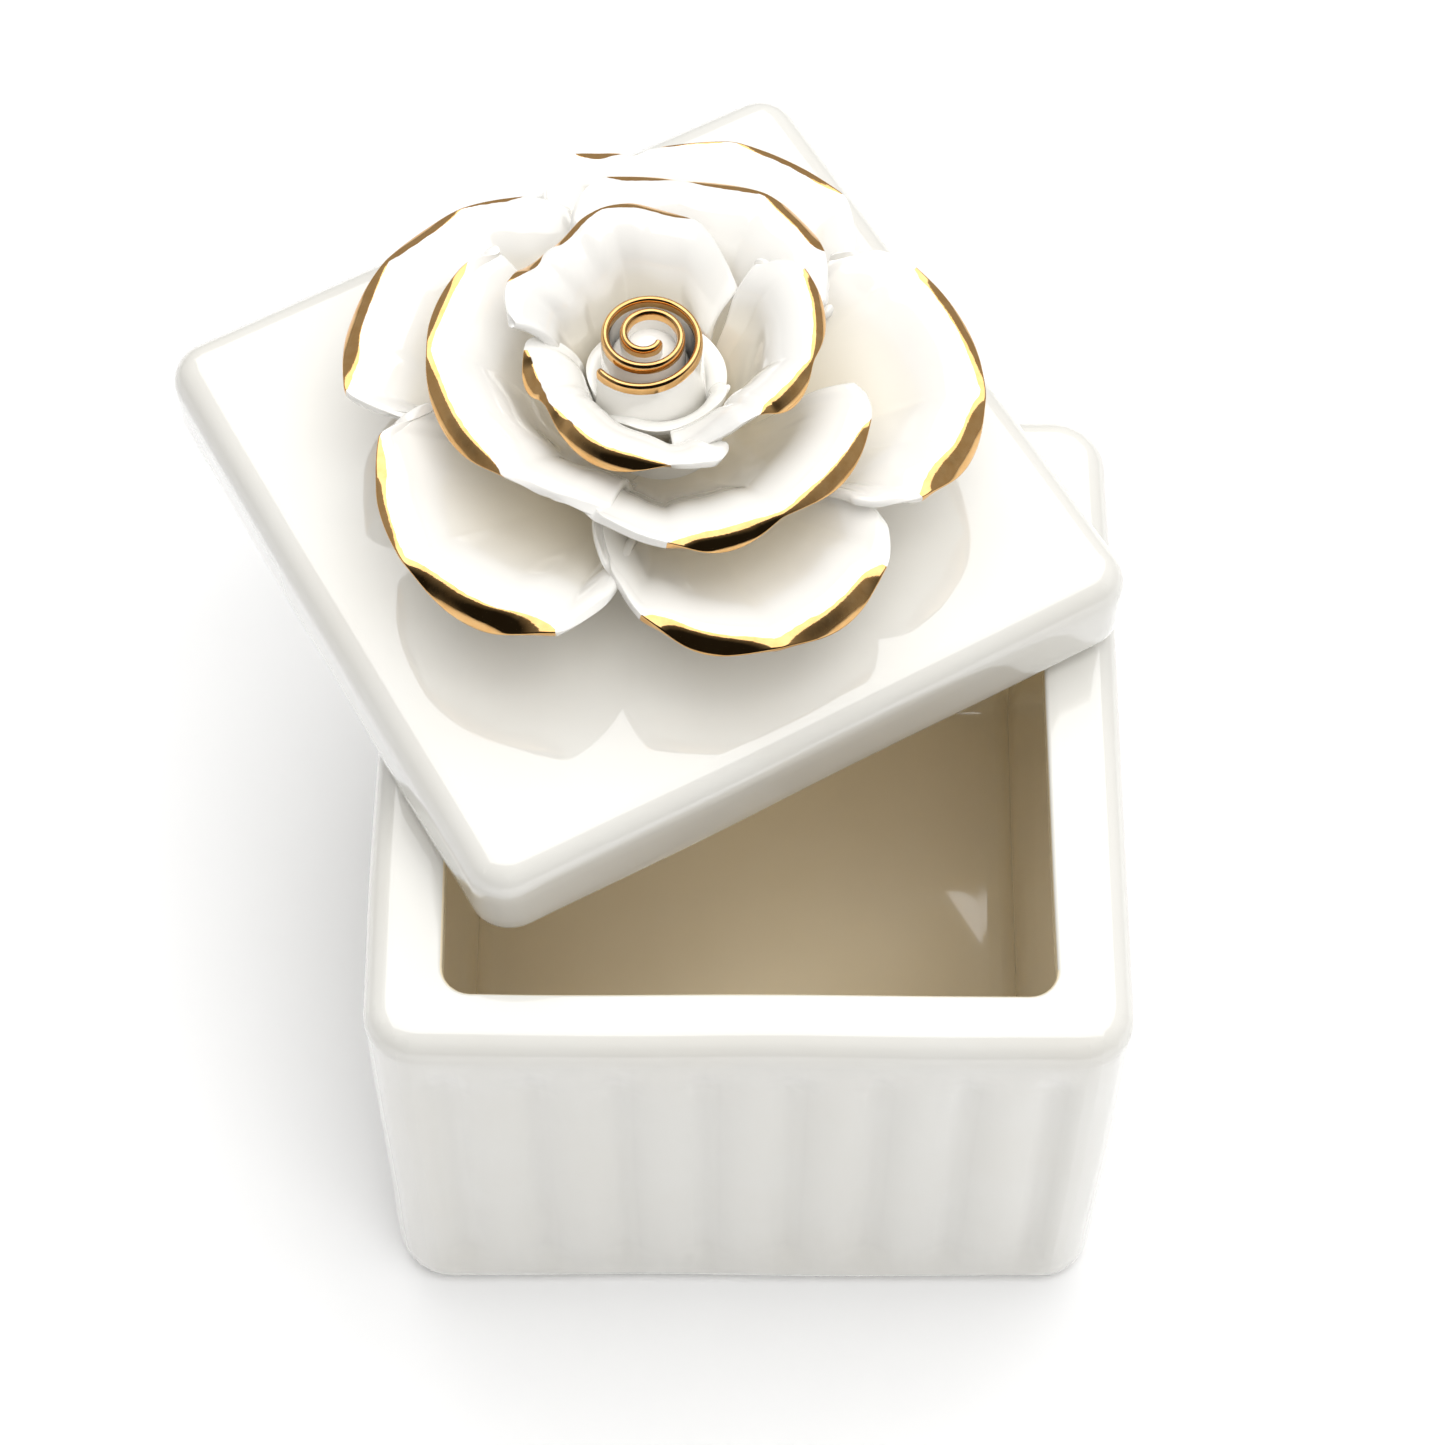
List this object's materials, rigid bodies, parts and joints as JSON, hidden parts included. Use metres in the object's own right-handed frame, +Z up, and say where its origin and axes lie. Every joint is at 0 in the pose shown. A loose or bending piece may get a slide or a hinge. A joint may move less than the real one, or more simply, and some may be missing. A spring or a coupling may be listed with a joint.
{
  "type": "trinket box",
  "caption": "Square porcelain trinket box with softly fluted walls and a thick lift-off lid crowned by a hand-built rose with gold-edged petals.",
  "frame": {"origin": "middle of the flat base that the box stands on", "axes": "+Z up out of the open top; X and Y square to the fluted walls. The lid rests askew: turned 29.7 degrees anticlockwise seen from above and pushed back along +Y"},
  "size_m": [0.1036, 0.1163, 0.0988],
  "materials": {
    "box_porcelain": "clear gloss glaze on white porcelain",
    "lid_porcelain": "clear gloss glaze on white porcelain",
    "petal_porcelain": "clear gloss glaze, with a fired gold lustre along the petals' rims",
    "seat_porcelain": "clear gloss glaze on white porcelain"
  },
  "bodies": {
    "box": {"box_body": "box_porcelain"},
    "lid": {"lid": "lid_porcelain", "rose_seat": "seat_porcelain", "outer_petal_1": "petal_porcelain", "outer_petal_2": "petal_porcelain", "outer_petal_3": "petal_porcelain", "outer_petal_4": "petal_porcelain", "outer_petal_5": "petal_porcelain", "middle_petal_1": "petal_porcelain", "middle_petal_2": "petal_porcelain", "middle_petal_3": "petal_porcelain", "inner_petal_1": "petal_porcelain", "inner_petal_2": "petal_porcelain", "inner_petal_3": "petal_porcelain", "wrap_petal_1": "petal_porcelain", "wrap_petal_2": "petal_porcelain", "wrap_petal_3": "petal_porcelain", "bud_roll": "petal_porcelain"}
  },
  "joints": [
    {"name": "lid_lift", "type": "slide", "parent": "box", "child": "lid", "axis": [0, 0, 1], "range_m": [0, 0.08]}
  ]
}
